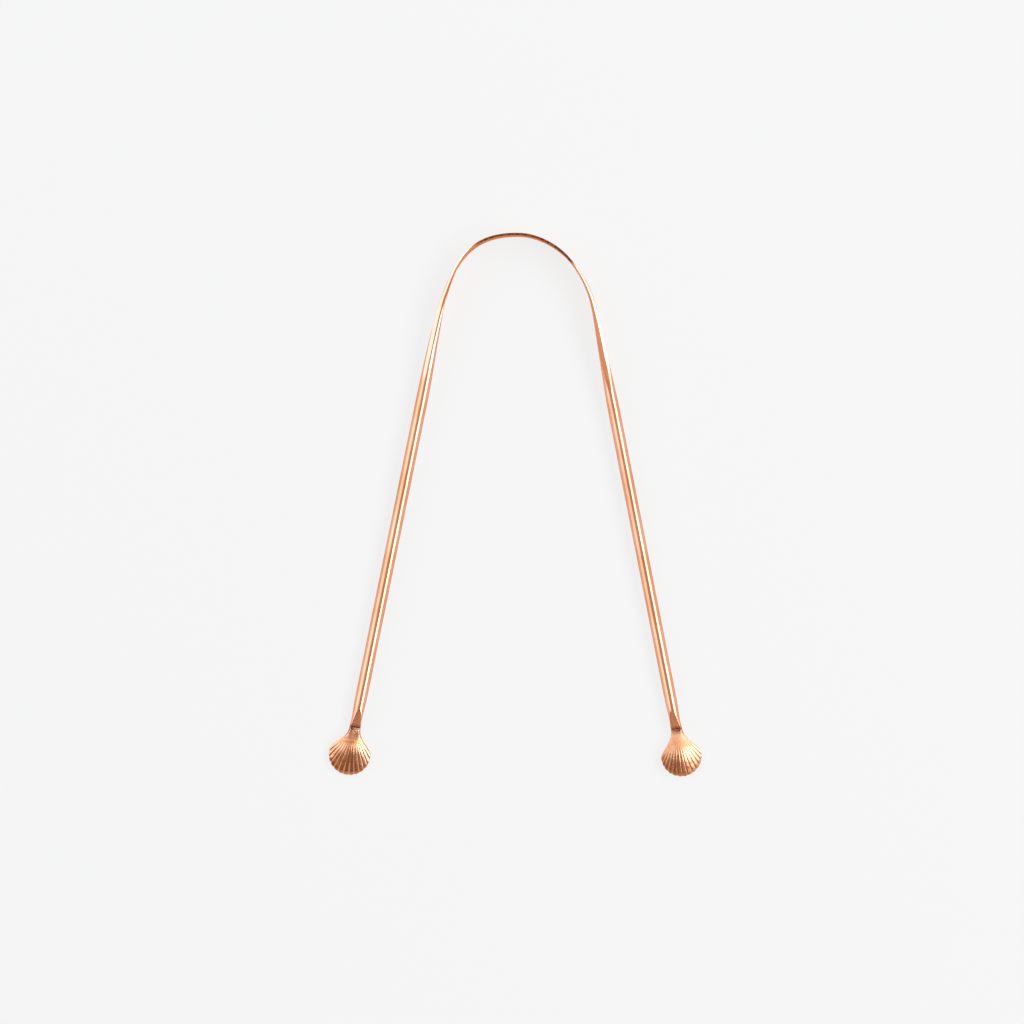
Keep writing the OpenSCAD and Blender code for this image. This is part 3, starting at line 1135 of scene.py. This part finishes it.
    def top(self, along: np.ndarray, across: np.ndarray) -> np.ndarray:
        """Height of the ribbed face, less the grooves.

        The neck is a superellipse from rim to ridge, its flat top rolled like the filed facet. The fan
        falls from its ridge to both sides and from its top to the tip, each by a hyperbola whose crest
        is as wide as given and which ends in the given slope. The fall to the tip is less on the flanks,
        and the whole fan rolls outwards. The tip's lip falls further by a parabola.

        Args:
            along: From 0 at the neck's end to 1 at the rim.
            across: From -1 to 1 across the fan.

        Returns:
            Heights in mm.
        """
        hand, plan = self.hand, self.plan(along, across)
        x, y = plan[..., 0], plan[..., 1]
        power = mix(np.where(across < 0, *self.square_powers), 2.0, ease(along, 0.0, self.square_share))
        open_share = np.clip((along - self.rib_start) / (1 - self.rib_start), 0, 1)
        groove = hand.rib_depth * (1 - self.rib(across)) * open_share
        slope = math.tan(self.facet_roll) * (1 - ease(along, 0.0, self.roll_share))
        middle_y = self.plan(along, np.zeros_like(along))[..., 1]
        level = self.ridge(middle_y) + across * self.neck_width / 2 * slope
        neck = mix(-self.rim_drop, level, arch(across, power))
        beyond = np.minimum(0.0, y - hand.apex_y)
        flank = 1 - hand.flank_share * np.clip(x / self.half, -1, 1) ** 2
        cone = (self.ridge(y) - hand.roll * x
                - hand.slopes[0] * (np.hypot(x, hand.crest) - hand.crest)
                - hand.slopes[1] * (np.hypot(beyond, self.tip_crest) - self.tip_crest) * flank)
        gap = self.half - np.linalg.norm(plan, axis=-1)
        lip = self.lip_drop * np.clip(1 - gap / self.lip_width, 0, 1) ** 2 * ease(-y, 0.0, self.lip_fade)
        return mix(neck, cone, ease(along, *self.fan_shares)) - lip - groove

    def back(self, along: np.ndarray, across: np.ndarray) -> np.ndarray:
        """Height of the back: half round on the neck, then flat with an eased hollow.

        Args:
            along: From 0 at the neck's end to 1 at the rim.
            across: From -1 to 1 across the fan.

        Returns:
            Heights in mm.
        """
        side_z = -self.rim_drop - self.neck_side_share * self.wire.wire_d / 2
        neck_back = mix(side_z, self.back_z, arch(across))
        first, last = self.dish_shares
        dish = (self.dish_depth * ease(along, first, first + self.dish_slope_share)
                * ease(along, last, last - self.dish_slope_share)
                * ease(np.abs(across), last, last - self.dish_side_share))
        return mix(neck_back, self.back_z, ease(along, 0.0, self.neck_round_share)) + dish

    def softened(self, plan: np.ndarray) -> np.ndarray:
        """How far a rim of round section falls below its full height.

        With d the distance from the rim: R less the root of (R squared less (R - d) squared) within R.

        Args:
            plan: Plan points, of which the last row is the rim.

        Returns:
            How far each point falls, in mm.
        """
        gap = np.linalg.norm(plan - plan[-1:], axis=-1)
        inside = np.clip(self.rim_round - gap, 0, None)
        return self.rim_round - np.sqrt(np.maximum(self.rim_round**2 - inside**2, 0))

    def relief(self, plan: np.ndarray, face: np.ndarray) -> np.ndarray:
        """Unevenness of the casting and the bead across the fan.

        The first is the product of two slow waves that run aslant.

        Args:
            plan: Plan points, in mm.
            face: Share that the face takes of both, which fades to its edges.

        Returns:
            Heights in mm.
        """
        x, y = plan[..., 0], plan[..., 1]
        seed = self.hand.seed + 5
        (first, second), (slant, other) = self.uneven_waves, self.uneven_slants
        uneven = wander(x + slant * y, first, seed) * wander(y + other * x, second, seed + 1)
        bead = self.hand.bead_height * hump(y - self.bead_slant * x, self.bead_y, self.bead_half)
        return (self.uneven_height * uneven + bead) * face

    def wear(self, local: np.ndarray, groove: np.ndarray) -> dict[str, np.ndarray]:
        """How the shell was worked, and where painted shade and reflection lie, with values from 0 to 1
        that the finish reads.

        A painted orange reflection lies on the rim's lower edge, most on its left as it lies, and in a
        spot on the bead. The grooves get painted shade, and the seam a stain that is partly painted
        shade. The root of the fan is brushed more than the rest.

        Args:
            local: All points in the shell's own frame.
            groove: How deep in a groove each of the first points lies.

        Returns:
            Named values, one for each point.
        """
        x, y, z = local.T
        satin = self.hand.satin
        # Painted orange reflection: a spot on the bead and a band on the rim's lower edge.
        (spot_x, spot_y), (half_x, half_y) = self.orange_spot, self.orange_spot_half
        spot = hump(y, spot_y, half_y) * hump(x, spot_x, half_x) * (self.hand.bead_height > 0)
        rim_orange = (ease(self.half - np.hypot(x, y), *self.rim_orange_gap) * ease(y, *self.rim_orange_rise)
                  * mix(*self.rim_orange_tones, ease(x * self.side.value, *self.rim_orange_across)))
        below_neck, above_fan = (ease(y, *places) for places in self.satin_places)
        # Painted shade in the grooves, as deep as each point lies in them.
        deep = np.zeros(len(local))
        deep[: groove.size] = self.groove_shade_tone * np.clip(groove.ravel(), 0, 1)
        return {
            "cast": local,
            "deep": deep,
            # A real stain at the seam, partly painted shade of the crease there.
            "seam_stain_and_shade": (hump(y, self.neck_length, float(mix(*self.stain_half, satin)))
                        * ease(z, 0.0, self.stain_height)),
            "painted_orange_reflection": np.maximum(self.orange_spot_tone * spot * ease(z, 0.0, self.orange_spot_height), rim_orange),
            "satin": satin * mix(self.satin_rest_share, 1.0, below_neck * above_fan),
        }

    def build(self) -> bpy.types.Object:
        """Makes the ribbed face, the back, the wall between them and the end of the neck.

        Returns:
            The object.
        """
        places = np.arange(self.rib_count)[:, None] + np.array(self.column_shares)
        across = (np.append(places.ravel(), self.rib_count) / self.rib_count * 2 - 1)[None, :]
        fan = np.linspace(0, self.tip_share, self.fan_rows)[:-1]
        along = np.concatenate([fan, np.linspace(self.tip_share, 1, self.tip_rows)])[:, None]
        plan = self.plan(along, across)
        low = self.softened(plan)
        first, last = self.face_shares
        face = ease(along, 0.0, first) * ease(along, 1.0, last) * arch(across)
        top_z = self.top(along, across) - low + self.relief(plan, face)
        back_z = self.back(along, across) + self.back_round_share * low

        skin = Skin()
        upper, lower = (skin.add(np.concatenate([plan, z[..., None]], axis=-1)) for z in (top_z, back_z))
        skin.quads(upper)
        skin.quads(lower[:, ::-1])

        def rim_of(grid: np.ndarray) -> np.ndarray:
            """Walks a grid's open edge: down one side, along the rim and up the other."""
            return np.concatenate([grid[:, 0], grid[-1, 1:-1], grid[::-1, -1]])

        upper_rim, lower_rim = rim_of(upper), rim_of(lower)
        share = np.linspace(0, 1, self.wall_steps + 2)[1:-1, None, None]
        wall = skin.add(mix(skin.laid[upper_rim], skin.laid[lower_rim], share))
        skin.quads(np.concatenate([lower_rim[None], wall[::-1], upper_rim[None]]))
        ring = np.concatenate([upper[0], wall[:, -1], lower[0, ::-1], wall[::-1, 0]])
        skin.fan(ring[::-1], skin.laid[ring].mean(axis=0))

        local = skin.laid
        shown = self.rib_start + self.groove_shade_share
        details = self.wear(local, (1 - self.rib(across)) * ease(along, self.rib_start, shown))
        skin.points = [LINE.from_arm(local + np.array([0.0, -LINE.arm_reach, 0.0]))]
        return skin.build(f"{self.side.word}_scallop", self.side, details, self.sharp_angle)

    def dress(self, piece: bpy.types.Object, finish: bpy.types.Material) -> None:
        """Gives the shell its finish and lets it ride on its side of the scraper.

        Args:
            piece: The shell.
            finish: Its material.
        """
        piece.data.materials.append(finish)
        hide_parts(f"{self.side.word}_shell")
        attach(piece, f"{self.side.word}_side")


@dataclass(frozen=True)
class BrazeFillet:
    """The braze round the seam between the filed end of the wire and the shell's neck."""

    wire: CopperWire
    shell: ScallopShell
    seam_gap: float = 0.12
    reach: float = 0.16
    rise: float = 0.008
    sink: float = 0.05
    lump_height: float = 0.004
    lump_waves: Triple = (0.9, 1.7, 2.6)
    lump_seed: int = 3
    middle_z: float = -0.4
    around: int = 120
    rings: int = 13
    wire_samples: int = 720
    neck_samples: int = 400
    sharp_angle: float = 60.0

    def outline(self, across: np.ndarray, up: np.ndarray, turn: np.ndarray) -> np.ndarray:
        """Distance of a closed section from the seam's middle in each direction.

        Args:
            across: Section points across the arm, in mm.
            up: Section points up, in mm.
            turn: Directions in radians.

        Returns:
            The distance in each direction, straight between the section's points.
        """
        angle = np.arctan2(up - self.middle_z, across)
        order = np.argsort(angle)
        return np.interp(turn, angle[order], np.hypot(across, up - self.middle_z)[order],
                         period=2 * math.pi)

    def wire_outline(self, turn: np.ndarray) -> np.ndarray:
        """Distance of the filed wire's section from the seam's middle.

        Args:
            turn: Directions in radians.

        Returns:
            The distance in each direction.
        """
        wire, circle = self.wire, np.linspace(0, 2 * math.pi, self.wire_samples, endpoint=False)
        radius = wire.wire_d / 2
        facet, cheek = radius - wire.facet_depth, radius - wire.cheek_depth + wire.cheek_flare
        across, up, _ = wire.filed(radius * np.cos(circle), radius * np.sin(circle), facet, cheek)
        return self.outline(across, up, turn)

    def neck_outline(self, turn: np.ndarray) -> np.ndarray:
        """Distance of the neck's end section from the seam's middle.

        Args:
            turn: Directions in radians.

        Returns:
            The distance in each direction.
        """
        across = np.linspace(-1, 1, self.neck_samples)
        start, x = np.zeros_like(across), across * self.shell.neck_width / 2
        z = np.concatenate([self.shell.top(start, across), self.shell.back(start, across)])
        return self.outline(np.concatenate([x, x]), z, turn)

    def build(self) -> bpy.types.Object:
        """Lofts a thin band from the wire's end section to the neck's.

        Its radius is eased from one section to the other, raised by a flat-topped curve, the fourth
        power of the distance from the middle, and sunk under both surfaces at its edges.

        Returns:
            The object.
        """
        turn = np.linspace(-math.pi, math.pi, self.around, endpoint=False)
        share = np.linspace(0, 1, self.rings)[:, None]
        off = 2 * share - 1
        bulge = self.rise - (self.rise + self.sink) * off**4
        uneven = wander(turn[None, :] * self.wire.wire_d / 2, self.lump_waves, self.lump_seed)
        lumps = self.lump_height * uneven * (1 - off**2)
        dist = mix(self.wire_outline(turn), self.neck_outline(turn), ease(share)) + bulge + lumps
        y = self.wire.seam_y + self.reach - share * (2 * self.reach + self.seam_gap)
        points = np.stack(np.broadcast_arrays(
            dist * np.cos(turn), y, dist * np.sin(turn) + self.middle_z), axis=-1)
        skin = Skin()
        skin.tube(points, np.array([[0.0, place, self.middle_z] for place in (y[0, 0], y[-1, 0])]))
        local, side = skin.laid, self.wire.side
        skin.points = [LINE.from_arm(local)]
        return skin.build(f"{side.word}_braze_fillet", side, {"cast": local}, self.sharp_angle)

    def dress(self, piece: bpy.types.Object, finish: bpy.types.Material) -> None:
        """Gives the braze its finish and lets it ride on its side of the scraper.

        Args:
            piece: The braze.
            finish: Its material.
        """
        piece.data.materials.append(finish)
        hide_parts(f"{self.wire.side.word}_braze_seam")
        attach(piece, f"{self.wire.side.word}_side")


@dataclass(frozen=True)
class SoftBox:
    """A rectangular studio lamp, seen from the object at an angle from straight up.

    Its place and length along the scraper are in metres, and its angles in degrees.
    """

    name: str
    angle: float
    half_angle: float
    radiance: float
    colour: str
    length: float
    middle_y: float
    distance: float = 1.6

    def place(self) -> None:
        """Makes the lamp. Its power is radiance times pi times its area."""
        lamp = bpy.data.lights.new(self.name, "AREA")
        lamp.shape = "RECTANGLE"
        lamp.size = 2 * self.distance * math.tan(math.radians(self.half_angle))
        lamp.size_y = self.length
        lamp.energy = self.radiance * math.pi * lamp.size * lamp.size_y
        lamp.color = linear(self.colour)[:3]
        made = put(self.name, lamp)
        turn = math.radians(self.angle)
        made.location = (self.distance * math.sin(turn), self.middle_y, self.distance * math.cos(turn))
        made.rotation_euler = (0.0, turn, 0.0)


@dataclass(frozen=True)
class Card:
    """A studio card that only reflections show: it keeps a part of the space dark, grey or warm.

    Its edges are seen from the object at angles in degrees from straight up, a pair across and a pair
    along. Where two level cards overlap, the one that shows hangs a drop lower, in metres. A card
    whose near edge is low stands upright.
    """

    name: str
    across: Pair
    along: Pair
    level: Triple
    drop: float = 0.0
    near_edge: float = 0.0
    height: float = 1.3

    def place(self) -> None:
        """Makes the card as one flat face with its own glow."""
        h = self.height - self.drop
        (x0, x1), (y0, y1) = ([h * math.tan(math.radians(angle)) for angle in pair]
                              for pair in (self.across, self.along))
        low = self.near_edge or h
        made = flat_face(self.name, [(x0, y0, low), (x1, y0, low), (x1, y1, h), (x0, y1, h)])
        sheet = NodeSheet(bpy.data.materials.new(self.name))
        sheet.add("OutputMaterial", sheet.add("Emission", (*self.level, 1.0), 1.0))
        made.data.materials.append(sheet.owner)
        made.visible_camera = made.visible_diffuse = made.visible_shadow = False
        made.visible_transmission = made.visible_volume_scatter = False


@dataclass(frozen=True)
class Studio:
    """Floor, lamps, cards, world and camera.

    A strong box stands on the right and broad weaker ones on the left, which reach far back. The cards
    are a warm grey one overhead, and towards the front others that the facets, the bevels and the
    shells' tips mirror, down to a warm one near the floor.
    """

    paper: str = "f6f6f6"
    floor_half: float = 4.0
    shadow_share: float = 0.12
    diffuse_fill: float = 0.31
    camera_place: Triple = (0.01684, 0.00019, 1.0)
    camera_aim: Triple = (-0.0012, -0.0018, 0.0)
    camera_roll: float = -0.23
    view_width: float = 0.2647
    sensor: float = 36.0
    clip: Pair = (0.01, 20.0)
    lamps: tuple[SoftBox, ...] = (
        SoftBox("right_softbox", 42.0, 13.0, 4.6, "ffffff", 2.475, 0.4075),
        SoftBox("left_back_softbox", -50.0, 22.0, 1.6, "f2f7ff", 1.3, 1.02),
        SoftBox("left_softbox", -50.0, 22.0, 0.95, "e7f3ff", 0.39, 0.175),
        SoftBox("left_near_softbox", -50.0, 22.0, 0.95, "f2f7ff", 0.23, -0.135),
        SoftBox("left_front_softbox", -50.0, 22.0, 0.45, "f2f7ff", 0.12, -0.31),
        SoftBox("left_end_softbox", -50.0, 22.0, 1.1, "f2f7ff", 0.14, -0.44),
    )
    cards: tuple[Card, ...] = (
        Card("overhead_card", (-18, 19), (-8, 1.6), (0.6, 0.49, 0.37)),
        Card("overhead_back_card", (-18, 19), (1.6, 14), (0.78, 0.63, 0.42)),
        Card("neck_card", (-38, 12), (14, 42), (0.47, 0.35, 0.24)),
        Card("right_neck_card", (12, 34), (14, 42), (0.62, 0.49, 0.36)),
        Card("near_front_card", (-24, 24), (-20, -8), (0.5, 0.42, 0.32)),
        Card("left_facet_card", (12, 32), (-38, -25), (0.12, 0.08, 0.055), drop=0.01),
        Card("front_edge_card", (-16, 30), (-27.5, -20), (0.36, 0.25, 0.16)),
        Card("left_edge_card", (-34, -18), (-44, -16), (0.7, 0.52, 0.36), drop=0.01),
        Card("front_left_card", (-64, 6), (-60, -27.5), (0.18, 0.095, 0.06)),
        Card("front_middle_card", (6, 26), (-60, -27.5), (0.46, 0.31, 0.21)),
        Card("front_right_card", (26, 60), (-60, -38), (0.4, 0.25, 0.16)),
        Card("low_front_card", (-63.435, 63.435), (-60, -60), (0.6, 0.44, 0.28), near_edge=0.3),
    )

    def shown(self, sheet: NodeSheet) -> bpy.types.Node:
        """Tells rays that show a thing directly, in metal or through glass from those that only light.

        Args:
            sheet: Where the nodes go.

        Returns:
            The node that gives 1 for the first and 0 for the others.
        """
        rays = sheet.add("LightPath").outputs
        seen = sheet.add("Math", rays["Is Camera Ray"], rays["Is Glossy Ray"], operation="MAXIMUM")
        return sheet.add("Math", seen, rays["Is Transmission Ray"], operation="MAXIMUM")

    def floor(self) -> None:
        """A pale sweep that keeps a faint shadow: part plain paper, part its own pale tone."""
        h = self.floor_half
        made = flat_face("floor", [(-h, -h, 0.0), (h, -h, 0.0), (h, h, 0.0), (-h, h, 0.0)])
        sheet = NodeSheet(bpy.data.materials.new("studio_paper"))
        share = sheet.add("Math", self.shown(sheet), 1 - self.shadow_share, operation="MULTIPLY")
        paper = sheet.add("BsdfDiffuse", linear(self.paper))
        tone = sheet.add("Emission", linear(self.paper), 1.0)
        sheet.add("OutputMaterial", sheet.add("MixShader", share, paper, tone))
        made.data.materials.append(sheet.owner)

    def world(self) -> None:
        """Pale for what is seen directly, in metal or through glass, and a weak fill for the rest."""
        world = bpy.context.scene.world or bpy.data.worlds.new("studio")
        bpy.context.scene.world = world
        sheet = NodeSheet(world)
        level = sheet.add("MapRange", self.shown(sheet), To_Min=self.diffuse_fill)
        sheet.add("OutputWorld", sheet.add("Background", linear(self.paper), level))

    def camera(self) -> None:
        """A long lens a metre straight above, turned a quarter of a degree, as in the photograph."""
        place = Vector(self.camera_place)
        look = Vector(self.camera_aim) - place
        lens = bpy.data.cameras.new("camera")
        lens.sensor_width = self.sensor
        lens.lens = self.sensor * look.length / self.view_width
        lens.clip_start, lens.clip_end = self.clip
        made = put("camera", lens)
        made.location = place
        made.rotation_mode = "QUATERNION"
        forward = look.normalized()
        turn = math.radians(self.camera_roll)
        right = forward.cross(Vector((math.sin(turn), math.cos(turn), 0.0))).normalized()
        up = right.cross(forward)
        made.rotation_quaternion = Matrix((right, up, -forward)).transposed().to_quaternion()
        bpy.context.scene.camera = made

    def set_up(self) -> None:
        """Builds the studio and keeps colours plain."""
        bpy.context.scene.view_settings.view_transform = "Standard"
        self.floor()
        for thing in self.lamps + self.cards:
            thing.place()
        self.world()
        self.camera()


def main() -> None:
    """Builds and dresses the pieces in order, then the studio."""
    logging.basicConfig(level=logging.INFO, format="%(message)s")
    wire_finish, shell_finish, braze_finish = DrawnCopper().make(), CastCopper().make(), Braze().make()
    for side in Side:
        wire = CopperWire(side)
        shell = ScallopShell(wire)
        fillet = BrazeFillet(wire, shell)
        wire.dress(wire.build(), wire_finish)
        shell.dress(shell.build(), shell_finish)
        fillet.dress(fillet.build(), braze_finish)
        log.info("%s side built", side.word)
    Studio().set_up()


if __name__ == "__main__":
    main()
